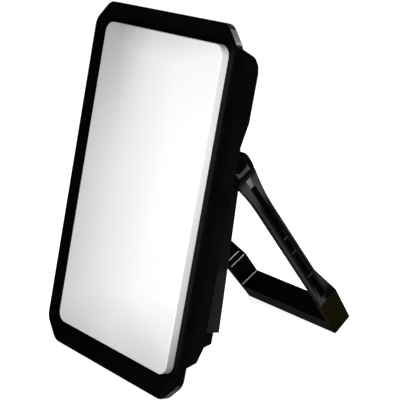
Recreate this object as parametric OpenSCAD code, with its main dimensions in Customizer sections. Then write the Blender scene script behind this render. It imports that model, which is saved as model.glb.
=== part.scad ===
// Rechargeable LED work light: an eight-sided light panel in a deep frame, a shallow
// rear housing, two boxes on its back for the electronics and the cells, and a
// swinging stand that also serves as the carrying handle. Lengths in millimetres.
// Pieces of the light are placed in the panel's own frame, with x to the right,
// y towards the back and z up the panel, and then leaned back together.

/* [Panel] */
// Width of the panel across its rim
panel_w = 211.6; // [195:0.2:230]
// Height of the panel
panel_h = 330; // [310:1:360]
// Length cut off each corner of the panel
corner = 18.5; // [17:0.5:21]
// Radius at both ends of each cut-off corner
corner_r = 15; // [12:0.5:17]
// Radius at the corners of the light window
window_r = 10.4; // [9.6:0.1:11]
// Depth of the rim from front to back
rim_d = 7.7; // [7.3:0.1:8.1]
// Bevel round the rim's front edge
edge = 0.8; // [0.5:0.1:1.1]
// Distance from the rim to where the frame starts to slope inward
lip = 2.2; // [1.8:0.1:2.8]
// Width of the frame at the sides and the top
frame_side = 18.4; // [18:0.1:19]
// Width of the frame at the bottom
frame_foot = 21; // [20.4:0.1:21.6]
// Depth of the sloping recess where it meets the light window
window_d = 8.1; // [7.6:0.1:8.4]
// Angle the panel leans back while it stands on its foot
lean = 13; // [10:1:16]
// Height of the small flat along the rim's lower back edge
rim_flat = 0.5; // [0.3:0.1:0.7]

/* [Diffuser and light] */
// Room between the diffuser and the window's edge
lens_gap = 0.15; // [0.1:0.05:0.3]
// Wall of the diffuser
lens_wall = 2; // [1.6:0.1:2.4]
// Distance of the diffuser's face behind the frame's front
lens_face = 0.15; // [0.05:0.05:0.5]
// Thickness of the sealing ring
seal_t = 0.8; // [0.6:0.1:1]
// Thickness of the diffuser's flange
flange_t = 1.4; // [1.2:0.1:1.6]
// Depth of the reflector tray
reflector_d = 5.9; // [5.5:0.1:6.1]
// Thickness of the LED board
board_t = 1.5; // [1.2:0.1:1.7]
// Width of one LED
led_w = 5.4; // [4:0.1:6]
// Height of one LED
led_h = 0.7; // [0.5:0.1:0.9]

/* [Rear housing] */
// Height of the housing's lower edge above the panel's lower edge
shell_lo = 28.5; // [27:0.5:30]
// Distance of the housing's upper edge below the panel's upper edge
shell_drop = 16.7; // [16:0.1:18]
// Depth of the housing's back
shell_d = 30; // [28:0.1:33]
// Height of the raised upper part over the housing's back
hump_h = 5.2; // [4.6:0.1:5.6]
// Distance of the raised part's lower edge below the panel's upper edge
hump_drop = 104; // [95:0.5:112]
// Wall of the housing and of the boxes behind it
wall = 2.4; // [2.2:0.1:2.6]

/* [Boxes on the back] */
// Width of both boxes
box_w = 124; // [112:0.5:136]
// Height of the step below the battery box
step_h = 14.9; // [14:0.1:16]
// How much deeper the battery box is at its lower edge than at its upper edge
box_flare = 3.4; // [3:0.1:3.8]
// Radius of a cell
cell_r = 9.2; // [8.5:0.05:10]
// Length of a cell
cell_l = 65; // [60:0.5:70]

/* [Button and charging socket] */
// Radius of the switch button
button_r = 7.2; // [6.6:0.1:7.8]
// Distance of the switch button below the panel's upper edge
button_drop = 58; // [54:1:62]
// Distance the button is pressed in
button_travel = 1; // [0.6:0.1:1.2]
// Distance of the charging socket from the side of the boxes
socket_in = 22; // [20:0.5:26]
// Thickness of the socket's rubber flap
flap_t = 1.6; // [1.4:0.1:1.8]

/* [Stand] */
// Thickness of the friction washers between the boxes and the arms
washer_t = 1.95; // [1.6:0.05:2.4]
// Thickness of an arm
arm_t = 8.25; // [7.6:0.05:9]
// Width of an arm
arm_w = 14.6; // [13.6:0.1:15.6]
// Radius of the hub round the pivot
hub_r = 13; // [12.2:0.1:14]
// Length from the pivot to the underside of the cross bar
stand_len = 231; // [215:1:245]
// Length of the rubber feet along the arm
foot_len = 45; // [41:1:49]
// Distance of the foot's front face from the arm's centre line
foot_front = 8.5; // [8:0.1:9]
// Distance of the foot's rear face from the arm's centre line
foot_rear = 15; // [14:0.1:16]
// Height of the cross bar
bar_h = 18; // [16:0.5:20]
// Thickness of the rubber over the foot
foot_skin = 1.7; // [1.4:0.1:1.9]
// Height cut off the foot's lower corner to give it a flat
foot_flat = 0.9; // [0.6:0.1:1.1]
// Radius of the pivot bolts
bolt_r = 4; // [3.6:0.1:4.2]

/* [Hidden] */
$fn = 72;
far = 700;
// thin gap between pieces that are screwed or laid together
gap = 0.1;
// room between pieces that move past each other
play = 0.3;
// running fit of a pin in its bore
fit = 0.05;

// closing screws, and the edges set from them
screw_in = frame_side - 5.5;
screw_x = panel_w / 2 - screw_in;
step_in = screw_in - 2;
flange_in = screw_in - 1.5;
tray_in = step_in - 2.1;
tube_r = 3.8;

// layers behind the frame's front
step_d = rim_d + 2.1;
flange_n = step_d + seal_t;
lens_back = flange_n + flange_t;
reflector_n = lens_back + gap;
board_n = reflector_n + reflector_d + gap;
board_back = board_n + board_t;
pilot_n = rim_d - 0.9;

// rear housing
shell_half = panel_w / 2 - tray_in + 1;
shell_hi = panel_h - shell_drop;
shell_leg = 1.5;
shell_draft = 0.6;
shell_rise = 9.6;
tray_d = 14;
inner_wall = shell_d - wall;
hump_d = shell_d + hump_h;
hump_wall = hump_d - wall;
hump_u = panel_h - hump_drop;
screw_u = [for (k = [0 : 3]) shell_lo + 31.5 + k * (shell_hi - shell_lo - 74.8) / 3];
head_seat = shell_d - 4;

// LED board
board_half = screw_x - tube_r - 1.1;
board_lo = shell_lo + 9.5;
board_hi = shell_hi - 10.3;
board_mid = (board_lo + board_hi) / 2;
led_columns = 5;
led_rows = 8;
led_step_x = (2 * board_half - 48) / (led_columns - 1);
led_step_u = (board_hi - board_lo - 41) / (led_rows - 1);
board_screw_x = 1.5 * led_step_x;
board_screw_u = [board_mid - 3 * led_step_u, board_mid, board_mid + 3 * led_step_u];

// cells, and the boxes that are made round them
box_half = box_w / 2;
step_low = shell_lo + 8.3;
step_top = step_low + step_h;
box_foot = step_top + play;
box_split = box_foot + 4 * cell_r + 21.2;
cell_mid = (box_foot + box_split) / 2;
cell_u = [cell_mid - cell_r - 0.4, cell_mid + cell_r + 0.4];
cell_n = [shell_d + 3.2 + cell_r, shell_d + 3.6 + 3 * cell_r];
cell_back = cell_n[1] + cell_r;
holder_half = cell_l / 2 + 3.5;
box_low_d = cell_back + 1.7;
box_foot_d = box_low_d + box_flare;
box_mid_d = box_low_d - 4.6;
box_top_d = box_low_d - 10.6;
box_top = hump_u - 4;
step_rear = box_low_d - 3.2;
pivot_n = box_top_d - 7.1;
pivot_u = box_top - 13.7;
box_screw_x = box_half - 7;
box_screw_u = [box_split + 10, pivot_u - 18.3];
cover_screw_x = box_half - 9;
cover_screw_u = [box_foot + 10, box_split - 10];
cover_seat = shell_d + 8;
shell_profile = [
    [rim_d + gap, shell_lo], [shell_d - 5.1, step_low], [shell_d, step_low + 13.2],
    [shell_d, hump_u], [hump_d, hump_u + 24], [hump_d, shell_hi - 21.3],
    [hump_d - 1.5, shell_hi - 14.3], [shell_d - 1.5, shell_hi - 7.3],
    [rim_d + gap, shell_hi]
];
step_profile = [
    [shell_d - 6, step_low], [step_rear - 11.4, step_low], [step_rear, step_low + 4.6],
    [step_rear, step_top], [shell_d - 1.5, step_top]
];
step_room = [
    [shell_d - 8, step_low + wall], [step_rear - 12, step_low + wall],
    [step_rear - wall, step_low + 6.2], [step_rear - wall, step_top - wall],
    [shell_d - 8, step_top - wall]
];

// driver board
driver_n = shell_d + 6;
driver_t = 1.6;
driver_lo = box_split + 8;
driver_hi = pivot_u - 26.3;
driver_half = 42;
driver_screw_x = driver_half - 6;
driver_screw_u = [driver_lo + 7, driver_hi - 7];

// button
button_u = panel_h - button_drop;
button_bore = button_r + play;
ring_r = button_bore + 3.5;
ring_seat = hump_d - 0.8;
button_floor = hump_wall - 0.4;
switch_n = board_back + 3.6;
switch_back = hump_wall - 3.5;
switch_stem = switch_back - 0.8;
switch_screw_x = 15;

// leads
lead_r = 1;
lead_u = (driver_lo + driver_hi) / 2;
lead_x = [16, 9, -8, -20];
lead_n = inner_wall - 3.2;
battery_lead_n = shell_d + 4.7;

// socket flap
socket_x = box_half - socket_in;
socket_u = step_top - wall - 3.1;
flap_x = socket_x + 9.5;
flap_n = step_rear + 2;
flap_hi = step_top - 0.7;
flap_lo = flap_hi - 8.8;
pin_r = 0.8;

// stand
arm_in = box_half + gap + washer_t + play;
arm_out = arm_in + arm_t;
arm_half = arm_w / 2;
foot_top = stand_len - foot_len;
foot_low_x = arm_out - 6.8;
hub_floor = arm_out - 4;
cap_r = 8.5;
z_lift = rim_d * sin(lean) - rim_flat;
pivot_z = -pivot_n * sin(lean) + pivot_u * cos(lean) + z_lift;
foot_reach = sqrt(stand_len * stand_len + foot_front * foot_front);
// angle of the stand against the vertical, and against the panel
stand_tilt = acos((pivot_z + foot_flat) / foot_reach) + atan2(foot_front, stand_len);
open_angle = stand_tilt + lean;
y_min = edge * sin(lean);
y_max = pivot_n * cos(lean) + pivot_u * sin(lean) + foot_rear * cos(stand_tilt)
    + stand_len * sin(stand_tilt);
y_mid = (y_min + y_max) / 2;

// Half width, lower edge, upper edge and corner leg of the panel's outline moved inward
function inset(side, foot) =
    [panel_w / 2 - side, foot, panel_h - side, corner - (2 - sqrt(2)) * side];
function window(more) = [
    panel_w / 2 - frame_side - more, frame_foot + more, panel_h - frame_side - more,
    (2 - sqrt(2)) * (window_r - more) - 0.5
];
function rectangle(o) = [[o[0], o[1]], [o[0], o[2]], [-o[0], o[2]], [-o[0], o[1]]];
function squared(o) = [o[0], o[1], o[2], 0.5];
function octagon(o) = [
    [o[0], o[1] + o[3]], [o[0], o[2] - o[3]], [o[0] - o[3], o[2]], [o[3] - o[0], o[2]],
    [-o[0], o[2] - o[3]], [-o[0], o[1] + o[3]], [o[3] - o[0], o[1]], [o[0] - o[3], o[1]]
];
function unit(v) = v / norm(v);
function inward(a, b) = unit([a[1] - b[1], b[0] - a[0]]);
// The same closed outline with every side moved inward by t
function shrink(p, t) = [
    for (i = [0 : len(p) - 1])
        let (
            before = inward(p[(i + len(p) - 1) % len(p)], p[i]),
            after = inward(p[i], p[(i + 1) % len(p)])
        )
        p[i] + t * (before + after) / (1 + before * after)
];
// The same outline less the room that arcs of radius r at its corners fill
function less_arcs(p, r) = let (c = shrink(p, r), k = len(p)) [
    for (i = [0 : k - 1])
        let (
            before = inward(p[(i + k - 1) % k], p[i]),
            after = inward(p[i], p[(i + 1) % k])
        )
        each [c[i] - r * before, c[i], c[i] - r * after]
];
function box_profile(front) = [
    [front, box_split], [box_low_d, box_split], [box_mid_d, box_top - 34],
    [box_top_d, box_top],
    [front, box_top]
];
function cover_profile(front) = [
    [front, box_foot], [box_foot_d, box_foot], [box_low_d, box_split - play],
    [front, box_split - play]
];

module in_panel() translate([0, -y_mid, z_lift]) rotate([-lean, 0, 0]) children();
module in_stand()
    in_panel() translate([0, pivot_n, pivot_u]) rotate([open_angle, 0, 0]) children();
module both_sides() {
    children();
    mirror([1, 0, 0]) children();
}
module below_ground() translate([-far, -far, -far]) cube([2 * far, 2 * far, far]);

// Eight-sided plate between two depths
module slab(o, y0, y1)
    translate([0, y1, 0]) rotate([90, 0, 0]) linear_extrude(height = y1 - y0)
        polygon(octagon(o));
// Plate with corners of radius r. Its front edge is bevelled where sloping sides are given.
module soft_plate(p, r, y0, y1, bevel = 0) {
    intersection() {
        translate([0, y1, 0]) rotate([90, 0, 0]) linear_extrude(height = y1 - y0)
            polygon(less_arcs(p, r));
        if (bevel > 0) children();
        else translate([-far, y0 - 1, -far]) cube([2 * far, y1 - y0 + 2, 2 * far]);
    }
    for (c = shrink(p, r)) translate([c[0], y0, c[1]]) rotate([-90, 0, 0]) {
        if (bevel > 0) cylinder(r1 = r - bevel, r2 = r, h = bevel);
        translate([0, 0, bevel]) cylinder(r = r, h = y1 - y0 - bevel);
    }
}
// Outline of depth and height, carried across the width from -half to half
module across(points, half)
    rotate([90, 0, 90]) linear_extrude(height = 2 * half, center = true) polygon(points);
// The same between two positions on the x axis
module side_plate(points, x0, x1)
    translate([x0, 0, 0]) rotate([90, 0, 90]) linear_extrude(height = x1 - x0)
        polygon(points);
module block(x0, x1, y0, y1, z0, z1)
    translate([x0, y0, z0]) cube([x1 - x0, y1 - y0, z1 - z0]);
// Round bar along the depth
module rod(x, z, r, y0, y1)
    translate([x, y0, z]) rotate([-90, 0, 0]) cylinder(r = r, h = y1 - y0);
// Round bar along the width
module rod_x(y, z, r, x0, x1)
    translate([x0, y, z]) rotate([0, 90, 0]) cylinder(r = r, h = x1 - x0);

// All points on one side of a sloping plane that faces the given direction
module slope(angle, d0, y0, d1, y1, from, to) {
    rate = (d1 - d0) / (y1 - y0);
    rotate([0, -angle, 0]) linear_extrude(height = 2 * far, center = true)
        polygon([
            [-far, from], [d0 + rate * (from - y0), from],
            [d0 + rate * (to - y0), to], [-far, to]
        ]);
}
// Eight-sided body with sloping sides: outline a at depth y0, outline b at depth y1
module taper(a, y0, b, y1, from, to) {
    ua = (a[0] + a[2] - a[3]) / sqrt(2);
    ub = (b[0] + b[2] - b[3]) / sqrt(2);
    la = (a[0] - a[1] - a[3]) / sqrt(2);
    lb = (b[0] - b[1] - b[3]) / sqrt(2);
    intersection() {
        slope(0, a[0], y0, b[0], y1, from, to);
        slope(180, a[0], y0, b[0], y1, from, to);
        slope(90, a[2], y0, b[2], y1, from, to);
        slope(270, -a[1], y0, -b[1], y1, from, to);
        slope(45, ua, y0, ub, y1, from, to);
        slope(135, ua, y0, ub, y1, from, to);
        slope(225, la, y0, lb, y1, from, to);
        slope(315, la, y0, lb, y1, from, to);
    }
}
// Cross-slotted screw with its seat at the origin and its shank towards the front
module screw(shank_r, length, head_r, head_h) difference() {
    union() {
        rod(0, 0, shank_r, -length, head_h / 2);
        rod(0, 0, head_r, 0, head_h);
    }
    block(-0.55 * head_r, 0.55 * head_r, 0.5 * head_h, head_h + 1, -0.35, 0.35);
    block(-0.35, 0.35, 0.5 * head_h, head_h + 1, -0.55 * head_r, 0.55 * head_r);
}

// Front frame: a rim with rounded corners and a bevelled edge, a recess that slopes in to the window,
// and a low step behind it that the sealing ring lies on.
module front_bezel() color("#16181a") difference() {
    in_panel() difference() {
        union() {
            soft_plate(octagon(inset(0, 0)), corner_r, 0, rim_d, edge)
                taper(inset(edge, edge), 0, inset(0, 0), edge, 0, rim_d);
            slab(inset(step_in, step_in), rim_d - 1, step_d);
        }
        taper(inset(lip, lip), 0, window(0), window_d, -1, window_d);
        soft_plate(rectangle(window(0)), window_r, window_d - 0.5, step_d + 1);
        both_sides() for (u = screw_u) rod(screw_x, u, 1.3, pilot_n, step_d + 1);
    }
    below_ground();
}

// Raised frosted tray over the LEDs, with a flange held between frame and housing.
module diffuser() color("#f4f6f8") in_panel() difference() {
    union() {
        soft_plate(rectangle(window(lens_gap)), window_r - lens_gap,
            lens_face, lens_back, 0.5)
            taper(squared(window(lens_gap + 0.5)), lens_face, squared(window(lens_gap)),
                lens_face + 0.5, lens_face, lens_back);
        slab(inset(flange_in, flange_in), flange_n, lens_back);
    }
    slab(window(lens_gap + lens_wall), lens_face + lens_wall, lens_back + 1);
    both_sides() for (u = screw_u) rod(screw_x, u, 2, flange_n - 1, lens_back + 1);
}

// Flat rubber ring between the frame's step and the diffuser's flange.
module lens_seal() color("#4a4d50") in_panel() difference() {
    slab(window(-3.8), step_d + fit, flange_n - fit);
    slab(window(-0.8), step_d - 1, flange_n + 1);
}

// White tray with sloping walls round the LEDs and a hole for each LED and screw.
module reflector() color("#eef0f0") in_panel() difference() {
    block(-board_half - 0.5, board_half + 0.5, reflector_n, reflector_n + reflector_d,
        board_lo, board_hi);
    taper([board_half - 0.7, board_lo + 1.2, board_hi - 1.2, 3], reflector_n,
        [board_half - 4, board_lo + 4.5, board_hi - 4.5, 3],
        reflector_n + reflector_d - 0.8, reflector_n - 1, reflector_n + reflector_d - 0.8);
    for (c = [0 : led_columns - 1], r = [0 : led_rows - 1])
        translate([led_x(c), 0, led_z(r)])
            block(-led_w / 2 - 0.5, led_w / 2 + 0.5, reflector_n, board_n + 1,
                -led_w / 2 - 0.5, led_w / 2 + 0.5);
    both_sides() for (u = board_screw_u)
        rod(board_screw_x, u, 3, reflector_n, board_n + 1);
}
function led_x(c) = (c - (led_columns - 1) / 2) * led_step_x;
function led_z(r) = board_mid + (r - (led_rows - 1) / 2) * led_step_u;

// Metal-core board behind the reflector.
module led_board() color("#d9dcda") in_panel() difference() {
    block(-board_half, board_half, board_n, board_back, board_lo, board_hi - 1);
    both_sides() for (u = board_screw_u)
        rod(board_screw_x, u, 1.4, board_n - 1, board_back + 1);
}

// LEDs soldered on the front of the board.
module led_chips() color("#f1d35a") in_panel()
    for (c = [0 : led_columns - 1], r = [0 : led_rows - 1])
        translate([led_x(c), 0, led_z(r)])
            block(-led_w / 2, led_w / 2, board_n - fit - led_h, board_n - fit,
                -led_w / 2, led_w / 2);

// Screws that hold the LED board on the posts of the housing.
module board_screws() color("#c9ccce") in_panel() both_sides() for (u = board_screw_u)
    translate([board_screw_x, board_n - fit, u]) mirror([0, 1, 0])
        screw(1.15, inner_wall - board_n - 2.1, 2.5, 1.6);

// Outer form of the shallow shell behind the frame.
module shell_form() intersection() {
    across(shell_profile, panel_w / 2);
    taper([shell_half, shell_lo - 2, shell_hi + 2, shell_leg + 2], rim_d,
        [shell_half - shell_draft, shell_lo + shell_rise - 2,
        shell_hi - shell_rise + 2, shell_leg + 2], hump_d, rim_d, hump_d + 1);
}
// Hollow inside that shell.
module shell_room() intersection() {
    across(shrink(shell_profile, wall), panel_w / 2);
    taper([shell_half - wall, shell_lo + wall - 2, shell_hi - wall + 2,
        shell_leg + 2 - 0.6 * wall], rim_d,
        [shell_half - shell_draft - wall, shell_lo + shell_rise + wall - 2,
        shell_hi - shell_rise - wall + 2, shell_leg + 2 - 0.6 * wall], hump_d,
        rim_d, hump_d + 1);
}
// Tubes and posts that stand inside the shell.
module shell_posts() intersection() {
    shell_form();
    union() {
        both_sides() {
            for (u = screw_u) rod(screw_x, u, tube_r, lens_back + gap, hump_d + 1);
            for (u = board_screw_u)
                rod(board_screw_x, u, 3, board_back + gap, hump_d + 1);
            for (u = cover_screw_u)
                rod(cover_screw_x, u, 3, board_back + 0.5, hump_d + 1);
            rod(switch_screw_x, button_u, 2.5, switch_n + gap, hump_d + 1);
        }
    }
}
// Rear housing: low tray round its foot, shallow shell with a raised upper part,
// posts inside, and the step at the lower end that holds the charging socket.
module rear_housing() color("#17191b") in_panel() difference() {
    union() {
        difference() {
            union() {
                slab(inset(tray_in, tray_in), rim_d + gap, tray_d);
                shell_form();
                across(step_profile, box_half);
            }
            slab(inset(step_in - play, step_in - play), rim_d - 1, lens_back + 0.2);
            shell_room();
            across(step_room, box_half - wall);
        }
        shell_posts();
        both_sides() for (u = driver_screw_u)
            rod(driver_screw_x, u, 3, shell_d - 1, driver_n);
        flap_lugs();
    }
    both_sides() {
        for (u = screw_u) {
            rod(screw_x, u, 1.4, lens_back - 1, far);
            rod(screw_x, u, 2.8, head_seat, far);
        }
        for (u = board_screw_u) rod(board_screw_x, u, 1.2, board_back, inner_wall + 0.6);
        for (u = cover_screw_u) rod(cover_screw_x, u, 1.3, board_back + 2, shell_d + 1);
        for (u = box_screw_u) rod(box_screw_x, u, 1.6, inner_wall - 1, shell_d + 1);
        for (u = driver_screw_u) rod(driver_screw_x, u, 1.2, inner_wall + 1, far);
        rod(switch_screw_x, button_u, 1, switch_n, switch_back);
    }
    rod(0, button_u, button_bore, inner_wall, far);
    rod(0, button_u, ring_r + fit, ring_seat, far);
    rod(socket_x, socket_u, 3, step_rear - wall - 1, far);
    rod(lead_x[0], lead_u, 2.2, inner_wall - 1, shell_d + 1);
    rod(lead_x[1], lead_u, 2.2, inner_wall - 1, shell_d + 1);
    rod(lead_x[2], lead_u, 2.2, inner_wall - 1, shell_d + 1);
}
// Lugs beside the charging socket that carry the flap's pin.
module flap_lugs() for (z = [[flap_lo - 0.6, flap_lo + 1.4], [flap_hi - 1.4, flap_hi + 0.4]])
    difference() {
        union() {
            translate([flap_x, flap_n, z[0]]) cylinder(r = 1.6, h = z[1] - z[0]);
            block(flap_x - 1.6, flap_x + 1.6, step_rear - 1, flap_n, z[0], z[1]);
        }
        translate([flap_x, flap_n, z[0] - 1]) cylinder(r = pin_r + fit, h = z[1] - z[0] + 2);
    }

// Long screws that draw the housing against the frame.
module housing_screws() color("#8d9194") in_panel() both_sides() for (u = screw_u)
    translate([screw_x, head_seat + fit, u])
        screw(1.25, head_seat - pilot_n - 0.3, 2.5, 1.9);

// Electronics box: open towards the housing, with the pivot bosses in its sides.
module rear_box() color("#1a1c1e") in_panel() difference() {
    union() {
        difference() {
            across(box_profile(shell_d + gap), box_half);
            across(shrink(box_profile(shell_d - 5), wall), box_half - wall);
        }
        intersection() {
            across(box_profile(shell_d + gap), box_half);
            both_sides() {
                for (u = box_screw_u) rod(box_screw_x, u, 3.5, shell_d + gap, far);
                rod_x(pivot_n, pivot_u, 8, box_half - 10, box_half);
            }
        }
    }
    both_sides() {
        for (u = box_screw_u) rod(box_screw_x, u, 1.5, shell_d, shell_d + 13);
        rod_x(pivot_n, pivot_u, bolt_r + fit, box_half - 11, box_half + 1);
    }
    translate([lead_x[3], battery_lead_n, box_split - 1]) cylinder(r = 1.8, h = wall + 2);
}

// Screws of the electronics box, driven from inside the shell.
module box_screws() color("#c9ccce") in_panel() both_sides() for (u = box_screw_u)
    translate([box_screw_x, inner_wall - fit, u]) mirror([0, 1, 0])
        screw(1.45, 14, 2.8, 2);

// Driver and charging board on four posts of the housing.
module driver_board() color("#1f5c3a") in_panel() difference() {
    block(-driver_half, driver_half, driver_n + gap, driver_n + gap + driver_t,
        driver_lo, driver_hi);
    both_sides() for (u = driver_screw_u)
        rod(driver_screw_x, u, 1.4, driver_n - 1, driver_n + 4);
}

// Parts on the driver board: capacitors, coil, plug strip and chips.
module driver_parts() color("#2b2d31") in_panel() {
    top = driver_n + gap + driver_t + fit;
    rod(-22, lead_u + 8, 8, top, top + 22);
    rod(-22, lead_u - 12, 5, top, top + 14);
    rod(-8, lead_u - 18, 3.2, top, top + 9);
    block(4, 26, top, top + 13, lead_u - 4, lead_u + 14);
    block(8, 20, top, top + 2, lead_u - 22, lead_u - 12);
    block(-6, 2, top, top + 1.6, lead_u + 16, lead_u + 24);
    block(24, 32, top, top + 6, lead_u - 24, lead_u - 9);
    block(30, 38, top, top + 4.5, lead_u, lead_u + 10);
}

// Screws of the driver board.
module driver_screws() color("#c9ccce") in_panel() both_sides() for (u = driver_screw_u)
    translate([driver_screw_x, driver_n + gap + driver_t + fit, u])
        screw(1.15, 7, 2.5, 1.6);

// Battery box: open towards the housing, with four deep screw tubes.
module battery_cover() color("#1a1c1e") in_panel() difference() {
    union() {
        difference() {
            across(cover_profile(shell_d + gap), box_half);
            across(shrink(cover_profile(shell_d - 5), wall), box_half - wall);
        }
        intersection() {
            across(cover_profile(shell_d + gap), box_half);
            both_sides() for (u = cover_screw_u)
                rod(cover_screw_x, u, 3.8, shell_d + gap, far);
        }
    }
    both_sides() for (u = cover_screw_u) {
        rod(cover_screw_x, u, 1.7, shell_d - 1, far);
        rod(cover_screw_x, u, 3, cover_seat, far);
    }
    translate([lead_x[3], battery_lead_n, box_split - 4]) cylinder(r = 1.8, h = 6);
}

// Screws of the battery box.
module cover_screws() color("#8d9194") in_panel() both_sides() for (u = cover_screw_u)
    translate([cover_screw_x, cover_seat + fit, u]) screw(1.25, cover_seat - board_back - 3.4,
        2.75, 2.4);

// Plastic holder under the cells, with an end wall on each side.
module battery_holder() color("#2a2c2f") in_panel() {
    reach = 2 * cell_r + 2.1;
    block(-holder_half, holder_half, shell_d + gap, shell_d + 2.8,
        cell_mid - reach, cell_mid + reach);
    both_sides() block(cell_l / 2 + 0.5, holder_half, shell_d + 1, cell_back - 0.4,
        cell_mid - reach, cell_mid + reach);
}

// Four round cells lying across the box, two behind two.
module battery_cells() color("#3f7fb5") in_panel() for (i = [0, 1], j = [0, 1]) {
    turn = i == j ? 1 : 0;
    translate([0, cell_n[j], cell_u[i]]) mirror([turn, 0, 0]) {
        rod_x(0, 0, cell_r, -cell_l / 2, cell_l / 2 - 1);
        rod_x(0, 0, 3, cell_l / 2 - 2, cell_l / 2);
    }
}

// Contact strips at both ends of the cells.
module battery_contacts() color("#c8b26a") in_panel() both_sides() for (u = cell_u)
    block(cell_l / 2 + fit, cell_l / 2 + 0.4, cell_n[0] - 6, cell_n[1] + 6, u - 4, u + 4);

// Charging socket: a block behind the wall with a round nose in the wall's hole.
module charge_socket() color("#101113") in_panel() difference() {
    union() {
        block(socket_x - 4.5, socket_x + 4.5, step_rear - 12.9, step_rear - wall - gap,
            socket_u - 2.8, socket_u + 2.8);
        rod(socket_x, socket_u, 3 - fit, step_rear - wall - 1, step_rear - 0.2);
    }
    difference() {
        rod(socket_x, socket_u, 2.2, step_rear - 9.9, step_rear + 1);
        rod(socket_x, socket_u, 0.8, step_rear - 10.9, step_rear - 0.8);
    }
}

// Rubber flap over the socket, hinged at its side.
module socket_flap() color("#55585a") in_panel() difference() {
    union() {
        block(socket_x - 8, flap_x - 2.1, step_rear + play, step_rear + play + flap_t,
            flap_lo, flap_hi);
        block(flap_x - 4, flap_x, step_rear + play, step_rear + play + flap_t,
            flap_lo + 1.8, flap_hi - 1.8);
        translate([flap_x, flap_n, flap_lo + 1.8])
            cylinder(r = 1.6, h = flap_hi - flap_lo - 3.6);
    }
    translate([flap_x, flap_n, flap_lo]) cylinder(r = pin_r + fit, h = 20);
}

// Steel pin of the flap.
module flap_pin() color("#b5b8ba") in_panel()
    translate([flap_x, flap_n, flap_lo - 0.6]) cylinder(r = pin_r, h = flap_hi - flap_lo + 1);

// Raised ring round the switch button.
module button_ring() color("#26282b") in_panel() translate([0, 0, button_u])
    rotate([-90, 0, 0]) rotate_extrude() polygon([
        [button_bore, ring_seat + fit], [ring_r, ring_seat + fit], [ring_r, hump_d + 0.9],
        [ring_r - 0.6, hump_d + 1.5], [button_bore, hump_d + 1.5]
    ]);

// Switch button: a cap with a shallow dish, a flange that keeps it in, and a stem.
module power_button() color("#303236") in_panel() translate([0, 0, button_u])
    rotate([-90, 0, 0]) rotate_extrude() polygon([
        [0, switch_stem], [2, switch_stem], [2, button_floor - 1.3],
        [button_r + 1.1, button_floor - 1.3], [button_r + 1.1, button_floor],
        [button_r, button_floor], [button_r, hump_d + 2.1], [button_r - 0.6, hump_d + 2.7],
        [button_r - 2, hump_d + 2.7], [button_r - 2.6, hump_d + 2.2], [0, hump_d + 2.2]
    ]);

// Push switch under the button.
module switch_body() color("#1d1f22") in_panel() difference() {
    block(-6.5, 6.5, switch_n + fit, switch_back, button_u - 6.5, button_u + 6.5);
    rod(0, button_u, 2.35, switch_stem - button_travel - 0.6, switch_back + 1);
}

// Small board that carries the switch.
module switch_board() color("#1f5c3a") in_panel() difference() {
    block(-20, 20, switch_n - 1.2, switch_n, button_u - 9, button_u + 9);
    both_sides() rod(switch_screw_x, button_u, 1.2, switch_n - 3, switch_n + 1);
}

// Screws of the switch board.
module switch_screws() color("#c9ccce") in_panel() both_sides()
    translate([switch_screw_x, switch_n - 1.2 - fit, button_u]) mirror([0, 1, 0])
        screw(0.95, hump_wall - switch_n - 3.9, 2, 1.1);

// Insulated leads: to the LED board, the switch, the socket and the cells.
module run(points) for (i = [0 : len(points) - 2]) {
    d = points[i + 1] - points[i];
    translate(points[i]) {
        rotate([0, acos(d[2] / norm(d)), atan2(d[1], d[0])]) cylinder(r = lead_r, h = norm(d));
        if (i > 0) sphere(r = lead_r);
    }
}
module inner_leads() color("#a8312b") in_panel() {
    back = driver_n - 0.1;
    run([[lead_x[0], board_back + 0.1, lead_u - 10], [lead_x[0], lead_n, lead_u - 10],
        [lead_x[0], lead_n, lead_u], [lead_x[0], back, lead_u]]);
    run([[lead_x[1], switch_n + 0.1, button_u - 5], [lead_x[1], lead_n + 1, button_u - 5],
        [lead_x[1], lead_n + 1, lead_u], [lead_x[1], back, lead_u]]);
    run([[lead_x[2], back, lead_u], [lead_x[2], lead_n, lead_u],
        [lead_x[2], lead_n, socket_u], [lead_x[2], shell_d + 12, socket_u],
        [socket_x, shell_d + 12, socket_u], [socket_x, step_rear - 13, socket_u]]);
    run([[lead_x[3], shell_d + 2.9, cell_mid + 18],
        [lead_x[3], battery_lead_n, cell_mid + 18],
        [lead_x[3], battery_lead_n, driver_lo + 3], [lead_x[3], back, driver_lo + 3]]);
}

// Side outline of an arm: distance from its centre line and distance below the pivot.
hub_fade = [[0, 1], [8, 0.965], [16.6, 0.72], [25.5, 0.456], [34.6, 0.228], [44, 0.07],
    [54, 0]];
function arm_edge(side) = [
    for (f = hub_fade) [side * (arm_half + (hub_r - arm_half) * f[1]), -f[0]]
];
function reversed(p) = [for (i = [len(p) - 1 : -1 : 0]) p[i]];
arm_outline = concat(
    arm_edge(1), [[arm_half, 38 - foot_top], [foot_rear, gap - foot_top]],
    [[-foot_front, gap - foot_top], [-arm_half, -foot_top + 4]], reversed(arm_edge(-1))
);
function foot_outline(skin) = [
    [foot_rear - skin, -foot_top + 5], [-foot_front + skin, -foot_top + 5],
    [-foot_front + skin, -stand_len + skin], [foot_rear - skin, -stand_len + skin]
];
// Part of the foot inside its sloping outer face, moved inward by skin.
module foot_slope(skin) translate([0, far, 0]) rotate([90, 0, 0])
    linear_extrude(height = 2 * far) polygon([
        [0, -foot_top + 9], [arm_out - skin, -foot_top + 9],
        [arm_out - skin, -foot_top], [foot_low_x - skin, -stand_len],
        [0, -stand_len]
    ]);
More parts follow.
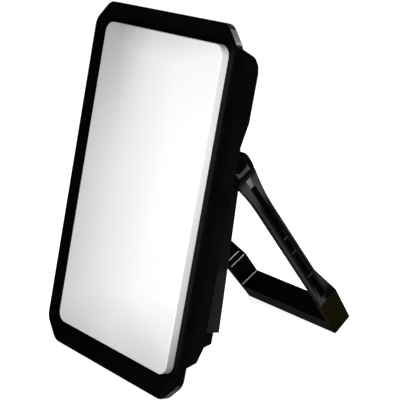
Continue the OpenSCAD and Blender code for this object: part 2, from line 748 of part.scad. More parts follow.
// Plastic core inside a rubber foot; spare widens it to make the hole for it.
module foot_core(spare) intersection() {
    foot_slope(foot_skin - spare);
    union() {
        intersection() {
            side_plate(foot_outline(foot_skin - spare), arm_in + foot_skin - spare, (2 * arm_out));
            block(0, far, -far, far, -far, -foot_top + 5);
        }
        intersection() {
            side_plate(foot_outline(foot_skin - spare), arm_in - 3, (2 * arm_out));
            block(0, far, -far, far, -far, bar_h - stand_len - foot_skin + spare);
        }
    }
}
// Stand: two arms with a trough in their outer side, joined by a cross bar.
module stand_frame() color("#1b1d20") difference() {
    in_stand() both_sides() difference() {
        union() {
            side_plate(arm_outline, arm_in, arm_out);
            rod_x(0, 0, hub_r, arm_in, arm_out);
            foot_core(0);
            bar_half();
        }
        rod_x(0, 0, bolt_r + fit, arm_in - 1, (2 * arm_out));
        rod_x(0, 0, cap_r + fit, hub_floor, (2 * arm_out));
        trough();
        block(arm_out - 1, (2 * arm_out), -far, far, -14, -12.5);
    }
    below_ground();
}
module bar_half() difference() {
    block(-1, arm_in - gap, -foot_front, foot_rear, -stand_len, bar_h - stand_len);
    for (x = [[0.9, 29], [31, arm_in - 4]])
        block(x[0], x[1], -foot_front + 3.5, foot_rear + 1, 3 - stand_len,
            bar_h - 3 - stand_len);
}
// Trough along the arm's outer side, with a sloping upper end and three cross ribs.
module trough() {
        difference() {
        side_plate([[-2.9, -27], [-2.9, -foot_top + 6], [5.1, -foot_top + 6], [5.1, 12 - foot_top],
            [2.9, 53 - foot_top], [3.2, -27]], arm_out - 3.2, arm_out + 1);
        for (a = [foot_top - 89, foot_top - 70, foot_top - 36])
            block(arm_out - 4, arm_out - 1.6, -4, 6, -a - 0.6, 0.6 - a);
    }
    translate([0, 3.2, 0]) rotate([90, 0, 0]) linear_extrude(height = 6.1)
        polygon([[arm_out + 0.3, -15.6], [arm_out - 3.2, -27.1], [arm_out + 0.3, -27.1]]);
}

// Rubber feet: caps over the lower corners of the stand.
module stand_feet() color("#3b3c30") difference() {
    in_stand() both_sides() difference() {
        intersection() {
            foot_slope(0);
            side_plate([[foot_rear, -foot_top], [-foot_front, -foot_top],
                [-foot_front, -stand_len], [foot_rear, -stand_len]], arm_in, (2 * arm_out));
        }
        foot_core(gap);
    }
    below_ground();
}

// Round caps in the hubs.
module hub_caps() color("#232528") in_stand() both_sides()
    rod_x(0, 0, cap_r, arm_out - 1.6, arm_out - 0.6);

// Pivot bolts: a low head in the hub and a shank through arm, washer and boss.
module pivot_bolts() color("#a9adb0") in_panel() both_sides() difference() {
    union() {
        rod_x(pivot_n, pivot_u, bolt_r, box_half - 16, hub_floor + 1);
        rod_x(pivot_n, pivot_u, 6.75, hub_floor + play, hub_floor + 2);
    }
    translate([hub_floor + 1, pivot_n, pivot_u]) rotate([0, 90, 0])
        cylinder(r = 2.9, h = 3, $fn = 6);
}

// Nuts on the bolts, against the bosses inside the box.
module pivot_nuts() color("#b9bcbe") in_panel() both_sides() difference() {
    translate([box_half - 15, pivot_n, pivot_u]) rotate([0, 90, 0])
        cylinder(r = 7.5, h = 4.9, $fn = 6);
    rod_x(pivot_n, pivot_u, bolt_r + fit, box_half - 16, box_half);
}

// Friction washers between the box and the arms.
module pivot_washers() color("#d8d8d2") in_panel() both_sides() difference() {
    rod_x(pivot_n, pivot_u, 9, box_half + gap, arm_in - play);
    rod_x(pivot_n, pivot_u, bolt_r + fit, box_half, arm_in);
}

front_bezel();
diffuser();
lens_seal();
reflector();
led_board();
led_chips();
board_screws();
rear_housing();
housing_screws();
rear_box();
box_screws();
driver_board();
driver_parts();
driver_screws();
battery_cover();
cover_screws();
battery_holder();
battery_cells();
battery_contacts();
charge_socket();
socket_flap();
flap_pin();
button_ring();
power_button();
switch_body();
switch_board();
switch_screws();
inner_leads();
stand_frame();
stand_feet();
hub_caps();
pivot_bolts();
pivot_nuts();
pivot_washers();
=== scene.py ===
import math

import bpy
from mathutils import Matrix, Vector


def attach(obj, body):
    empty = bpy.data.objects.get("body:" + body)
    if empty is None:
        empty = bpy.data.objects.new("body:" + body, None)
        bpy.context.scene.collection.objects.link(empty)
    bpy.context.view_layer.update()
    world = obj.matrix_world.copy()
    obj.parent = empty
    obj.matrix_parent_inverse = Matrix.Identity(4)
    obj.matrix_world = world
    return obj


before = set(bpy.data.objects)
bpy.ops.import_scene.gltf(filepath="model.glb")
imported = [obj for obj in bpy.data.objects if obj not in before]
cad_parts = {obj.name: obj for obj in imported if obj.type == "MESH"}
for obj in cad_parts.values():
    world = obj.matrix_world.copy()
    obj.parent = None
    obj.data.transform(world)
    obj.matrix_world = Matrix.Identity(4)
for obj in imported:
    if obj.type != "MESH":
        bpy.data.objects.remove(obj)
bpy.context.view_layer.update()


# The front frame is one black ABS moulding, spark-eroded to a fine satin grain. Its outer
# edges are worn smoother, and are a little paler, partly from wear and partly as a painted
# highlight, and it is screwed on from behind.

class Flow:
    """A value on its way through a material's nodes, with ordinary arithmetic."""

    def __init__(self, tree, socket=None):
        self.tree = tree
        self.socket = socket

    def node(self, kind, settings=None, out=0, **sockets):
        """A node's output. Sockets are given by name, or by number as _0, _1 and so on."""
        made = self.tree.nodes.new("ShaderNode" + kind)
        for name, value in (settings or {}).items():
            setattr(made, name, value)
        for name, value in sockets.items():
            key = int(name[1:]) if name[0] == "_" else name.replace("_", " ")
            if isinstance(value, Flow):
                self.tree.links.new(value.socket, made.inputs[key])
            else:
                made.inputs[key].default_value = value
        return Flow(self.tree, made.outputs[out])

    def math(self, operation, *values):
        sockets = {f"_{i}": value for i, value in enumerate(values)}
        return self.node("Math", {"operation": operation}, **sockets)

    def __add__(self, other):
        return self.math("ADD", self, other)

    def __sub__(self, other):
        return self.math("SUBTRACT", self, other)

    def __rsub__(self, other):
        return self.math("SUBTRACT", other, self)

    def __mul__(self, other):
        return self.math("MULTIPLY", self, other)

    def __pow__(self, other):
        return self.math("POWER", self, other)

    def __abs__(self):
        return self.math("ABSOLUTE", self)

    __radd__, __rmul__ = __add__, __mul__

    def highest(self, *others):
        """The highest of this value and the others."""
        top = self
        for other in others:
            top = top.math("MAXIMUM", top, other)
        return top

    def between(self, low, high):
        """0 below low, 1 above high, and even steps between."""
        return self.node("MapRange", {"clamp": True}, Value=self, From_Min=low, From_Max=high)

    def within(self, rise, fall):
        """1 from the end of the rise to the start of the fall, and 0 outside both."""
        return self.between(*rise) * (1 - self.between(*fall))

    def noise(self, scale, detail=2.0, rough=0.5):
        return self.node("TexNoise", Vector=self, Scale=scale, Detail=detail, Roughness=rough)

    def stretched(self, x, y, z, turn=(0, 0, 0)):
        return self.node("Mapping", Vector=self, Scale=(x, y, z), Rotation=turn)

    def blend(self, low, high):
        """The colour low where this is 0 and high where it is 1."""
        return self.node("Mix", {"data_type": "RGBA"}, 2, _0=self, _6=low, _7=high)


def grey(value, tint=(1, 1, 1)):
    return tuple(value * t for t in tint) + (1,)


def new_finish(name, **fixed):
    """A material, its shader, and the place on the piece in metres."""
    material = bpy.data.materials.new(name)
    material.use_nodes = True
    shader = material.node_tree.nodes["Principled BSDF"]
    for key, value in fixed.items():
        shader.inputs[key.replace("_", " ")].default_value = value
    place = Flow(material.node_tree).node("TexCoord", out="Object")
    return material, shader, place


def wire(shader, **sockets):
    for key, value in sockets.items():
        value.tree.links.new(value.socket, shader.inputs[key.replace("_", " ")])


def soft_edge(place, radius):
    """The rounded normal of a moulded edge, and how far a point is on that edge."""
    rounded = place.node("Bevel", {"samples": 6}, Radius=radius)
    plain = place.node("NewGeometry", out="Normal")
    facing = place.node("VectorMath", {"operation": "DOT_PRODUCT"}, "Value", _0=rounded, _1=plain)
    return rounded, (1 - facing).between(0.01, 0.25)


def moulded(name, low, high, tint, rough, grain, depth, edge_radius, edge_wear_highlight_tone, specular,
            touch=None, painted_light_side=None, painted_light_tone=0):
    """Moulded plastic: grain, faint flow marks, duller patches, and edges worn smooth and
    painted paler, partly as wear and partly as a painted highlight.

    Touch is a function that adds what only one piece has. The side of a piece that faces the
    direction given for its painted light side is painted paler, as painted light, with a
    coarser grain, paler painted-highlight edges and a thin gloss.
    """
    material, shader, place = new_finish(name, Specular_IOR_Level=specular)
    rounded, edge = soft_edge(place, edge_radius)
    fine = place.noise(grain, 3.0, 0.6)
    cloud = place.noise(22, 3.0)
    # Edges are painted paler where a noise lets through: partly wear, partly a painted highlight.
    rubbed_and_highlit = edge * place.noise(140, 4.0, 0.7).between(0.38, 0.68)
    shade = cloud.between(0.3, 0.7).blend(grey(low, tint), grey(high, tint))
    shade = (rubbed_and_highlit * 0.8).blend(shade, grey(edge_wear_highlight_tone, tint))
    if touch:
        shade = touch(place, shade, edge)
    # The side facing the given direction is painted paler, as painted light, with paler
    # painted-highlight edges and a coarser grain.
    if painted_light_side:
        facing = place.node("TexCoord", out="Normal")
        painted_light_mask = facing.node("VectorMath", {"operation": "DOT_PRODUCT"}, "Value",
                                   _0=facing, _1=painted_light_side).between(0.45, 0.8)
        coarse_grain_painted_light = (fine * 0.5 + cloud * 0.5).between(0.4, 0.6)
        coarse_grain_painted_light = coarse_grain_painted_light.blend(grey(painted_light_tone * 0.7, tint), grey(painted_light_tone, tint))
        coarse_grain_painted_light = (edge * 0.6).blend(coarse_grain_painted_light, grey(painted_light_tone * 2.6, tint))
        shade = painted_light_mask.blend(shade, coarse_grain_painted_light)
        shader.inputs["Coat Roughness"].default_value = 0.42
        wire(shader, Coat_Weight=painted_light_mask * 0.3)
    scratch = place.stretched(30, 900, 900, (0.3, 0.5, 0.8)).noise(1.0).between(0.66, 0.74)
    dull = rough + (cloud - 0.5) * 0.14 + (fine - 0.5) * 0.12 + scratch * 0.06 - rubbed_and_highlit * 0.1
    bump = place.node("Bump", Strength=0.55, Distance=depth, Height=fine - scratch * 0.4,
                      Normal=rounded)
    wire(shader, Base_Color=shade, Roughness=dull, Normal=bump)
    return material


def dress(material, *nodes):
    for name in nodes:
        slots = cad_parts[name].data.materials
        for i in range(len(slots)):
            slots[i] = material


def squared_to(place, foot, lean):
    """Places across from the middle, behind and above the foot of a part that leans."""
    upright = Matrix.Rotation(lean, 3, "X")
    turned = place.node("Mapping", Vector=place, Location=upright @ -foot, Rotation=(lean, 0, 0))
    across, behind, above = (turned.node("SeparateXYZ", out=i, Vector=turned) for i in range(3))
    return abs(across), behind, above


panel_lean = math.radians(13.0)
panel_foot = Vector((0, -0.1232975, 0.0012321))
frame_half = 0.1058
frame_mid = 0.165
corner_cut = 0.0185
facet_inset = 0.0018
facet_gloss = 0.2

bezel_black = moulded("bezel_black", low=0.0010, high=0.0018, tint=(0.98, 0.98, 1.04), rough=0.24,
                      grain=1500, depth=0.00002, edge_radius=0.0007, edge_wear_highlight_tone=0.011,
                      specular=0.001)
shader = bezel_black.node_tree.nodes["Principled BSDF"]
shader.inputs["Coat Roughness"].default_value = 0.16
place = Flow(bezel_black.node_tree).node("TexCoord", out="Object")
across, behind, up = squared_to(place, panel_foot, panel_lean)
facet_line = frame_half + frame_mid - corner_cut - facet_inset
corner_facet = (across + abs(up - frame_mid) - facet_line).between(0, 0.0004)
behind_lip = behind.between(0.0009, 0.0012)
wire(shader, Coat_Weight=corner_facet * behind_lip * facet_gloss)
dress(bezel_black, "front_bezel")


# The diffuser is a raised tray of opal acrylic that stands up through the frame's window,
# frosted outside and with fine upright ribs inside. Its colour carries painted shade towards
# its edges, its lower end and two of its corners, a darker painted shade on its side wall
# with a painted shadow at the wall's foot, and a thin painted highlight along its edges.

tray_half = 0.0872
tray_low = 0.0225
tray_top = 0.3115
rib_scale = 105.0

opal, shader, place = new_finish("opal_acrylic", Specular_IOR_Level=0.2)
rounded, edge = soft_edge(place, 0.0006)
rib = place.node("TexWave", {"wave_type": "BANDS", "bands_direction": "X"}, 1,
                 Vector=place, Scale=rib_scale)
frost = place.noise(2600)
cloud = place.noise(9)
across, behind, up = squared_to(place, panel_foot, panel_lean)
sideways = place.node("SeparateXYZ", Vector=place)
face = 1 - behind.between(0.0004, 0.0007)

opal_tone_painted_shade = cloud.between(0.25, 0.75).blend((0.885, 0.887, 0.89, 1), (0.905, 0.906, 0.908, 1))
# Painted shade towards the tray's sides, its lower end and its top.
painted_shade_side = across.between(tray_half - 0.055, tray_half) * 0.6 * face
painted_shade_low = (1 - up.between(tray_low, tray_low + 0.05)) * 0.95
painted_shade_top = up.between(tray_top - 0.024, tray_top - 0.002) * 0.8
painted_shade_rim = painted_shade_side.highest(painted_shade_low, painted_shade_top)
opal_tone_painted_shade = (painted_shade_rim * 0.8).blend(opal_tone_painted_shade, (0.64, 0.643, 0.65, 1))

# The side wall is painted darker, more so towards the bottom, with a painted shadow at its foot.
wall_painted_shade = up.between(0.02, 0.22).blend((0.5, 0.5, 0.505, 1), (0.79, 0.79, 0.795, 1))
wall_painted_shade = (up.between(0.022, 0.065) * 0.6 + 0.4).blend(grey(0.12), wall_painted_shade)
opal_tone_painted_shade = face.blend(wall_painted_shade, opal_tone_painted_shade)
# A thin painted highlight along the tray's edges.
opal_tone_painted_shade = (edge * 0.5).blend(opal_tone_painted_shade, (0.91, 0.912, 0.915, 1))

# Painted shade in the upper left and lower right corners.
painted_shade_left_corner = (1 - sideways.between(-0.06, -0.012)) * up.between(0.17, 0.31) ** 1.5 * 0.42
painted_shade_right_corner = sideways.between(0.0, 0.06) * (1 - up.between(0.035, 0.085)) * face * 0.24
opal_tone_painted_shade = painted_shade_left_corner.highest(painted_shade_right_corner).blend(opal_tone_painted_shade, grey(0.1))
relief = place.node("Bump", Strength=0.25, Distance=0.00004, Height=frost + rib * 0.7,
                    Normal=rounded)
wire(shader, Base_Color=opal_tone_painted_shade, Roughness=0.3 + (frost - 0.5) * 0.1 + cloud * 0.06,
     Normal=relief)
dress(opal, "diffuser")


# The sealing ring is cut from soft grey rubber sheet and is pressed flat between the
# frame's step and the diffuser's flange.

def rubber(name, low, high, tint, rough, grain, specular=0.25, touch=None):
    """Rubber: pebbled, cloudy, and a little paler where its edges are worn."""
    material, shader, place = new_finish(name, Specular_IOR_Level=specular)
    rounded, edge = soft_edge(place, 0.0007)
    stipple = place.node("TexVoronoi", {"feature": "SMOOTH_F1"}, Vector=place, Scale=grain,
                         Smoothness=0.4)
    cloud = place.noise(35, 4.0, 0.6)
    shade = cloud.between(0.3, 0.72).blend(grey(low, tint), grey(high, tint))
    shade = (edge * 0.35).blend(shade, grey(high * 1.6, tint))
    if touch:
        shade = touch(place, shade)
    relief = place.node("Bump", Strength=0.5, Distance=0.00008,
                        Height=stipple + place.noise(700) * 0.4, Normal=rounded)
    wire(shader, Base_Color=shade, Roughness=rough + (cloud - 0.5) * 0.16, Normal=relief)
    return material


seal_rubber = rubber("seal_rubber", low=0.055, high=0.075, tint=(1, 1, 1.02), rough=0.72,
                     grain=1400)
dress(seal_rubber, "lens_seal")


# The reflector is a vacuum-formed tray of white sheet with a satin face. It lies round the
# LEDs, in front of their board, and throws their side light forwards.

def painted(name, low, high, rough, grain):
    """A pale, even skin with a fine tooth and slightly duller patches."""
    material, shader, place = new_finish(name)
    rounded = soft_edge(place, 0.0004)[0]
    fine = place.noise(grain, 3.0)
    cloud = place.noise(30, 3.0)
    shade = cloud.between(0.3, 0.7).blend(low, high)
    relief = place.node("Bump", Strength=0.3, Distance=0.00003, Height=fine, Normal=rounded)
    wire(shader, Base_Color=shade, Roughness=rough + (cloud - 0.5) * 0.12, Normal=relief)
    return material


reflector_white = painted("reflector_white", low=(0.78, 0.785, 0.79, 1),
                          high=(0.85, 0.855, 0.86, 1), rough=0.38, grain=900)
dress(reflector_white, "reflector")


# The LED board is an aluminium plate under white solder mask, and each LED is a plastic
# cup filled with yellow phosphor gel.

board_white = painted("board_white", low=(0.72, 0.73, 0.72, 1), high=(0.8, 0.81, 0.79, 1),
                      rough=0.42, grain=1600)
dress(board_white, "led_board")
led_yellow = painted("led_yellow", low=(0.72, 0.5, 0.09, 1), high=(0.82, 0.6, 0.14, 1),
                     rough=0.3, grain=2500)
dress(led_yellow, "led_chips")


# All screws and the flap's pin are zinc-plated steel with a faint turned grain. The bolts,
# nuts and the cells' contact strips are brighter nickel plate.

def plated(name, low, high, rough, turned):
    """Plated metal: a turned grain, cloudy, and bright on its edges."""
    material, shader, place = new_finish(name, Metallic=1.0)
    rounded, edge = soft_edge(place, 0.00025)
    brush = place.stretched(turned, turned, 40).noise(1.0, 3.0)
    cloud = place.noise(220, 3.0)
    bright = tuple(min(1, c * 1.2) for c in high[:3]) + (1,)
    shade = cloud.between(0.3, 0.7).blend(low, high)
    shade = (edge * 0.5).blend(shade, bright)
    relief = place.node("Bump", Strength=0.2, Distance=0.00002, Height=brush, Normal=rounded)
    wire(shader, Base_Color=shade, Roughness=rough + (brush - 0.5) * 0.16 + (cloud - 0.5) * 0.1,
         Normal=relief)
    return material


screw_steel = plated("screw_steel", low=(0.34, 0.35, 0.36, 1), high=(0.5, 0.51, 0.52, 1),
                     rough=0.36, turned=2400)
dress(screw_steel, "board_screws", "housing_screws", "box_screws", "driver_screws",
      "cover_screws", "switch_screws", "flap_pin")
bolt_steel = plated("bolt_steel", low=(0.5, 0.5, 0.49, 1), high=(0.64, 0.64, 0.63, 1),
                    rough=0.3, turned=1800)
dress(bolt_steel, "pivot_bolts", "pivot_nuts", "battery_contacts")


# The rear housing is a deeper black moulding, smooth on its sides, and on its back painted
# paler as painted light, with a coarser grain. It closes on the frame with screws along both
# sides.

panel_back = (0, math.cos(panel_lean), -math.sin(panel_lean))
housing_black = moulded("housing_black", low=0.0013, high=0.0026, tint=(1.06, 0.98, 0.96),
                        rough=0.45, grain=1100, depth=0.00006, edge_radius=0.0009,
                        edge_wear_highlight_tone=0.012, specular=0.004, painted_light_side=panel_back,
                        painted_light_tone=0.0085)
dress(housing_black, "rear_housing")


# The electronics box and the battery cover are separate mouldings of a greyer black, painted
# paler on their backs as painted light with a coarser grain, and screwed to the housing's
# back one above the other.

box_black = moulded("box_black", low=0.0044, high=0.0068, tint=(1.02, 1.0, 0.86), rough=0.5,
                    grain=900, depth=0.00008, edge_radius=0.0008, edge_wear_highlight_tone=0.018,
                    specular=0.01, painted_light_side=panel_back, painted_light_tone=0.014)
dress(box_black, "rear_box")
cover_black = moulded("cover_black", low=0.011, high=0.016, tint=(1.0, 1.02, 0.9), rough=0.5,
                      grain=900, depth=0.00008, edge_radius=0.0008, edge_wear_highlight_tone=0.034,
                      specular=0.01, painted_light_side=panel_back, painted_light_tone=0.019)
dress(cover_black, "battery_cover")


# The driver and switch boards are green fibreglass laminate. Their parts are black and
# dark grey cases and cans.

def laminate(name, low, high):
    """Glass laminate under clear mask, with faint copper tracks and a bare, tan edge."""
    material, shader, place = new_finish(name, Coat_Weight=0.4, Coat_Roughness=0.2)
    rounded, edge = soft_edge(place, 0.0002)
    weave = place.node("TexChecker", out=1, Vector=place, Scale=900.0)
    track = place.stretched(160, 40, 160).noise(1.0, 1.0).between(0.5, 0.54)
    shade = track.blend(low, high)
    shade = (edge * 0.6).blend(shade, (0.3, 0.28, 0.16, 1))
    relief = place.node("Bump", Strength=0.2, Distance=0.00003, Height=track + weave * 0.15,
                        Normal=rounded)
    wire(shader, Base_Color=shade, Roughness=0.36 + track * 0.1, Normal=relief)
    return material


board_green = laminate("board_green", low=(0.012, 0.09, 0.035, 1), high=(0.03, 0.16, 0.06, 1))
dress(board_green, "driver_board", "switch_board")
parts_dark = moulded("parts_dark", low=0.02, high=0.035, tint=(1, 1, 1.05), rough=0.4,
                     grain=1800, depth=0.00003, edge_radius=0.0004, edge_wear_highlight_tone=0.07,
                     specular=0.4)
dress(parts_dark, "driver_parts", "switch_body")


# The cells are steel cans in shrunk blue film. Their holder and the charging socket are
# moulded in black nylon.

def film(name, low, high):
    """Shrunk film with fine wrinkles round the cell."""
    material, shader, place = new_finish(name, Coat_Weight=0.3, Coat_Roughness=0.15)
    rounded = soft_edge(place, 0.0004)[0]
    wrinkle = place.stretched(40, 260, 260).noise(1.0, 4.0, 0.6)
    shade = wrinkle.between(0.35, 0.7).blend(low, high)
    relief = place.node("Bump", Strength=0.3, Distance=0.00012, Height=wrinkle, Normal=rounded)
    wire(shader, Base_Color=shade, Roughness=0.3 + (wrinkle - 0.5) * 0.2, Normal=relief)
    return material


cell_blue = film("cell_blue", low=(0.02, 0.07, 0.26, 1), high=(0.035, 0.11, 0.36, 1))
dress(cell_blue, "battery_cells")
inner_black = moulded("inner_black", low=0.012, high=0.018, tint=(1, 1, 1), rough=0.5,
                      grain=1200, depth=0.00005, edge_radius=0.0006, edge_wear_highlight_tone=0.035,
                      specular=0.3)
dress(inner_black, "battery_holder", "charge_socket")


# The socket's flap is a soft rubber door on a steel pin, and it closes over the charging
# socket in the housing's lower step.

flap_rubber = rubber("flap_rubber", low=0.011, high=0.017, tint=(1, 1, 1.03), rough=0.66,
                     grain=1700)
dress(flap_rubber, "socket_flap")


# The switch button is a dark grey cap in a black ring that is pressed into the hump of
# the housing's back.

button_grey = moulded("button_grey", low=0.055, high=0.075, tint=(0.98, 1, 1.03), rough=0.4,
                      grain=1500, depth=0.00004, edge_radius=0.0006, edge_wear_highlight_tone=0.13,
                      specular=0.4)
dress(button_grey, "power_button")
frame_black = moulded("frame_black", low=0.0014, high=0.0024, tint=(0.98, 0.98, 1.04),
                      rough=0.3, grain=1500, depth=0.00003, edge_radius=0.0007,
                      edge_wear_highlight_tone=0.011, specular=0.004)
dress(frame_black, "button_ring")


# The leads are stranded copper in red silicone. They are soldered between the boards, the
# cells' contact strips and the charging socket.

lead_red = rubber("lead_red", low=0.3, high=0.42, tint=(1, 0.06, 0.045), rough=0.5, grain=900,
                  specular=0.4)
dress(lead_red, "inner_leads")


# The stand is a glass-filled nylon moulding. Its grain is finer and shinier than the boxes',
# and the light its facets catch is painted: painted light and highlights on its arms' outer
# faces, painted shade on its crossbar and below its hubs, and paler painted light on its back.

pivot = Vector((0, -0.0234345, 0.1919561))
stand_lean = math.radians(35.563)
arm_inner = 0.06435
arm_outer = 0.0726
foot_top = (-0.2, -0.185)


def arm_painted_light_and_shade(place, shade, edge):
    """Painted light on the arms' outer faces, painted highlights on the ramp under the hub and
    along the rib, and painted shade on the crossbar and in the groove below the hub.
    """
    across, behind, above = squared_to(place, pivot, -stand_lean)
    above_foot = above.between(*foot_top)
    outer_face = across.between(arm_outer - 0.0008, arm_outer - 0.0005) * above_foot
    hub = above.between(-0.022, -0.014)
    # A dark painted shade in the groove below the hub, and painted shade on the crossbar between
    # the arms.
    hub_groove_painted_shade = (above.within((-0.0156, -0.0150), (-0.0116, -0.0110))
               * across.between(arm_inner + 0.002, arm_outer - 0.001))
    crossbar_painted_shade = 1 - across.between(arm_inner - 0.002, arm_inner - 0.001)
    shade = hub_groove_painted_shade.blend(shade, grey(0.0012))
    shade = crossbar_painted_shade.blend(shade, grey(0.0007))

    # Painted light on the arms' outer faces, strongest at the front edge, on the flares and under
    # the hub.
    front_edge = (1 - behind.between(-0.0073, -0.0030)) ** 2.2
    rear_flare = behind.between(0.0046, 0.0068) * above.between(-0.179, -0.163) * 0.75
    front_flare = (1 - above.between(-0.178, -0.160)) * (1 - behind.between(-0.002, 0.002))
    under_hub = above.between(-0.056, -0.036)
    painted_light_on_arm = front_edge.highest(rear_flare, front_flare, under_hub)
    shade = (outer_face * (1 - hub) * painted_light_on_arm).blend(shade, grey(0.040))

    # A painted highlight on the ramp under the hub.
    ramp_painted_highlight = (across.within((arm_outer - 0.0036, arm_outer - 0.0034),
                           (arm_outer - 0.0004, arm_outer - 0.0001))
             * above.within((-0.0295, -0.0285), (-0.0160, -0.0152))
             * behind.within((-0.0034, -0.0028), (0.0028, 0.0034)))
    shade = (ramp_painted_highlight * 0.9).blend(shade, grey(0.22))
    # A paler line along the rib, a painted highlight.
    rib = (across.within((arm_outer - 0.0020, arm_outer - 0.0018),
                         (arm_outer - 0.0013, arm_outer - 0.0011))
           * above.within(foot_top, (-0.09, -0.085)))
    shade = (rib * 0.8).blend(shade, grey(0.06))
    # A painted highlight along the outer faces' edges.
    return (edge * outer_face * 0.6).blend(shade, grey(0.05))


stand_rear = (0, math.cos(stand_lean), math.sin(stand_lean))
stand_black = moulded("stand_black", low=0.0012, high=0.0022, tint=(1.0, 1.0, 0.98), rough=0.34,
                      grain=1300, depth=0.00004, edge_radius=0.0007, edge_wear_highlight_tone=0.012,
                      specular=0.002, touch=arm_painted_light_and_shade, painted_light_side=stand_rear,
                      painted_light_tone=0.0095)
dress(stand_black, "stand_frame")


# Three low ribs cross each arm's inner face where it widens towards the foot. They are
# moulded with the arm, and their pale colour is a painted highlight.

def deselected():
    if bpy.context.mode != "OBJECT":
        bpy.ops.object.mode_set(mode="OBJECT")
    bpy.ops.object.select_all(action="DESELECT")


def in_place():
    bpy.ops.object.transform_apply(location=True, rotation=True, scale=True)


def rounded_off(width):
    """Bevels the selected edges of the piece in hand."""
    bpy.ops.mesh.bevel(offset=width, segments=2, affect="EDGES")
    bpy.ops.object.mode_set(mode="OBJECT")


def other_arm(piece):
    """A copy of the piece for the arm on the other side, with its own mesh."""
    deselected()
    piece.select_set(True)
    bpy.context.view_layer.objects.active = piece
    bpy.ops.object.duplicate()
    copy = bpy.context.object
    copy.scale.x = -1
    in_place()
    return copy


def one_piece(name, parts, material):
    """Joins parts made upright about the pivot, leans them with the stand and finishes them."""
    deselected()
    for part in parts:
        part.select_set(True)
    bpy.context.view_layer.objects.active = parts[0]
    bpy.ops.object.join()
    joined = bpy.context.object
    joined.name = name
    joined.location = pivot
    joined.rotation_euler.x = stand_lean
    in_place()
    bpy.ops.object.mode_set(mode="EDIT")
    bpy.ops.mesh.select_all(action="SELECT")
    bpy.ops.mesh.normals_make_consistent(inside=False)
    bpy.ops.object.mode_set(mode="OBJECT")
    bpy.ops.object.shade_smooth_by_angle(angle=math.radians(40))
    joined.data.materials.append(material)
    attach(joined, "stand")


rib_deep = 0.0011
rib_proud = 0.0004
rib_sunk = 0.0002
rib_round = 0.00012
rib_tilt = math.radians(-5.5)
rib_runs = ((-0.1762, -0.0070, 0.0098), (-0.1845, -0.0070, 0.0128), (-0.2118, -0.0082, 0.0146))

ribs = []
for above, front_end, rear_end in rib_runs:
    deselected()
    bpy.ops.mesh.primitive_cube_add(
        size=1, rotation=(rib_tilt, 0, 0),
        location=(arm_inner + (rib_sunk - rib_proud) / 2, (front_end + rear_end) / 2, above),
        scale=(rib_proud + rib_sunk, rear_end - front_end, rib_deep))
    in_place()
    bpy.ops.object.mode_set(mode="EDIT")
    bpy.ops.mesh.select_all(action="SELECT")
    rounded_off(rib_round)
    near_rib = bpy.context.object
    ribs += [near_rib, other_arm(near_rib)]

# The ribs' pale colour is a painted highlight.
rib_painted_highlight = moulded("rib_painted_highlight", low=0.42, high=0.55, tint=(1.0, 0.985, 0.975), rough=0.3,
                     grain=900, depth=0.00003, edge_radius=0.0003, edge_wear_highlight_tone=0.6,
                     specular=0.3)
one_piece("arm_ribs", ribs, rib_painted_highlight)


# A raised bar crosses each hub below its cap, wider at both ends and hooked up at its
# front one. It is moulded with the arm and keeps the cap in, and its paler colour is a
# painted highlight.

def pick(piece, test):
    """Selects the corners that pass the test, and the edges and faces between them."""
    bpy.ops.object.mode_set(mode="EDIT")
    bpy.ops.mesh.select_mode(type="VERT")
    bpy.ops.mesh.select_all(action="DESELECT")
    bpy.ops.object.mode_set(mode="OBJECT")
    for corner in piece.data.vertices:
        corner.select = test(corner.co)
    bpy.ops.object.mode_set(mode="EDIT")


def drawn_out(reach, middle, factor):
    """Draws the selected end of the bar out, and widens it about the middle's height."""
    bpy.ops.mesh.extrude_edges_move(TRANSFORM_OT_translate={"value": reach})
    bpy.ops.transform.resize(value=(1, 1, factor), center_override=(0, 0, middle))


bar_front = -0.0040
bar_rear = 0.0037
bar_top = -0.0062
bar_low = -0.0098
bar_sunk = 0.0007
bar_proud = 0.0006
bar_round = 0.0003
end_catch = 0.0001

deselected()
bpy.ops.mesh.primitive_plane_add(
    size=1, rotation=(0, math.pi / 2, 0),
    location=(arm_outer - bar_sunk, (bar_front + bar_rear) / 2, (bar_top + bar_low) / 2))
near_bar = bpy.context.object
near_bar.scale = (bar_top - bar_low, bar_rear - bar_front, 1)
in_place()
pick(near_bar, lambda place: place.y > bar_rear - end_catch)
drawn_out(reach=(0, 0.0040, 0.0002), middle=-0.0078, factor=1.67)
pick(near_bar, lambda place: place.y < bar_front + end_catch)
drawn_out(reach=(0, -0.0032, 0.0026), middle=-0.0054, factor=2.0)
bpy.ops.mesh.select_all(action="SELECT")
bpy.ops.mesh.extrude_region_move(TRANSFORM_OT_translate={"value": (bar_sunk + bar_proud, 0, 0)})
pick(near_bar, lambda place: place.x > arm_outer)
rounded_off(bar_round)

# The bar's paler colour is a painted highlight.
bar_painted_highlight = moulded("bar_painted_highlight", low=0.03, high=0.055, tint=(1, 1, 1), rough=0.3, grain=1300,
                   depth=0.00003, edge_radius=0.0004, edge_wear_highlight_tone=0.09, specular=0.1)
one_piece("hub_bars", [near_bar, other_arm(near_bar)], bar_painted_highlight)


# The feet are rubber sleeves over the stand's lower corners, an olive black that stays
# dull beside the shiny stand, with painted shade turning their inner sides black.

def painted_shade_inside(place, shade):
    """Painted shade that turns the rubber black on its inner side."""
    across = squared_to(place, pivot, -stand_lean)[0]
    outer = across.between(arm_inner - 0.0005, arm_inner + 0.0025)
    return outer.blend(grey(0.0012, (1.0, 0.85, 0.6)), shade)


foot_rubber = rubber("foot_rubber", low=0.0045, high=0.0066, tint=(1.0, 0.87, 0.12), rough=0.62,
                     grain=1300, specular=0.005, touch=painted_shade_inside)
dress(foot_rubber, "stand_feet")


# Each pivot has a bolt through a slippery white nylon washer, and a cap of the same black
# as the button's ring hides the bolt's head in the arm's hub.

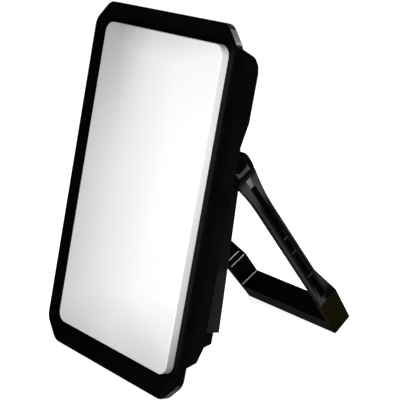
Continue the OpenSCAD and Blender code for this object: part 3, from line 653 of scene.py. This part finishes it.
washer_nylon = painted("washer_nylon", low=(0.6, 0.59, 0.55, 1), high=(0.7, 0.69, 0.65, 1),
                       rough=0.45, grain=1500)
dress(washer_nylon, "pivot_washers")
dress(frame_black, "hub_caps")


# A plain pale floor under the light. It takes the object's shadow, and the camera, gloss
# and glass see it and the room behind it as plain white.

def seen_directly(tree):
    """1 for the camera, gloss and glass, and 0 for the light that falls on the object."""
    camera, gloss, glass = (Flow(tree).node("LightPath", out=ray) for ray in
                            ("Is Camera Ray", "Is Glossy Ray", "Is Transmission Ray"))
    return camera.highest(gloss, glass)


room_light = 0.28

deselected()
bpy.ops.mesh.primitive_plane_add(size=12.0, location=(0, 0, 0))
floor = bpy.context.object
floor.name = "studio_floor"
floor_paint, shader, place = new_finish("floor_paint", Roughness=0.9, Specular_IOR_Level=0.0,
                                        Emission_Strength=0.8)
tone = place.noise(3.0).between(0.0, 1.0).blend(grey(0.80), grey(0.82))
wire(shader, Base_Color=tone,
     Emission_Color=seen_directly(floor_paint.node_tree).blend(grey(0), grey(1)))
floor.data.materials.append(floor_paint)

world = bpy.data.worlds.new("studio")
bpy.context.scene.world = world
world.use_nodes = True
backdrop = world.node_tree.nodes["Background"]
backdrop.inputs["Color"].default_value = (1, 1, 1, 1)
wire(backdrop, Strength=room_light + seen_directly(world.node_tree) * (1 - room_light))


# Soft lamps, as in a catalogue picture: one close on the right, one overhead, and a cool one
# behind that draws the upper corner. The camera doesn't see the lamps themselves.

def softbox(name, place, aim, size, power, colour=(1, 1, 1)):
    lamp = bpy.data.lights.new(name, "AREA")
    lamp.shape = "RECTANGLE"
    lamp.size = size[0]
    lamp.size_y = size[1]
    lamp.energy = power
    lamp.color = colour
    holder = bpy.data.objects.new(name, lamp)
    holder.visible_camera = False
    bpy.context.collection.objects.link(holder)
    holder.location = place
    holder.rotation_euler = (Vector(aim) - Vector(place)).to_track_quat("-Z", "Y").to_euler()


softbox("lamp_right", place=(0.34, -0.32, 0.25), aim=(0.04, -0.08, 0.19), size=(0.2, 0.3),
        power=1.85)
softbox("lamp_top", place=(-0.1, 0.2, 1.3), aim=(0, 0, 0.1), size=(1.0, 1.0), power=6.0)
softbox("lamp_behind", place=(0.25, 0.72, 0.9), aim=(0.1, -0.05, 0.31), size=(0.25, 0.25),
        power=5.5, colour=(0.86, 0.94, 1.0))


# The camera stands where the photograph's stood: 50 degrees round the panel and just
# above its middle. Its place and angles are worked out for an upright panel, and leaned
# back with it.

round_panel = math.radians(50.38)
over_panel = math.radians(8.41)
roll = math.radians(10.12)
aim = Vector((0.09304, 0.0, 0.18023))
distance = 1.11799

back = Vector((math.sin(round_panel) * math.cos(over_panel),
               -math.cos(round_panel) * math.cos(over_panel), math.sin(over_panel)))
level = (-back).cross(Vector((0, 0, 1))).normalized()
upward = level.cross(-back)
right = math.cos(roll) * level + math.sin(roll) * upward
up = -math.sin(roll) * level + math.cos(roll) * upward
leaned = Matrix.Rotation(-panel_lean, 3, "X")

camera_data = bpy.data.cameras.new("camera")
camera_data.sensor_fit = "HORIZONTAL"
camera_data.sensor_width = 36.0
camera_data.lens = 119.05
camera_data.clip_start = 0.05
camera_data.clip_end = 30.0
camera = bpy.data.objects.new("camera", camera_data)
bpy.context.collection.objects.link(camera)
camera.rotation_euler = Matrix((leaned @ right, leaned @ up, leaned @ back)).transposed().to_euler()
camera.location = leaned @ (aim + back * distance) + panel_foot
bpy.context.scene.camera = camera
bpy.context.scene.view_settings.view_transform = "Standard"
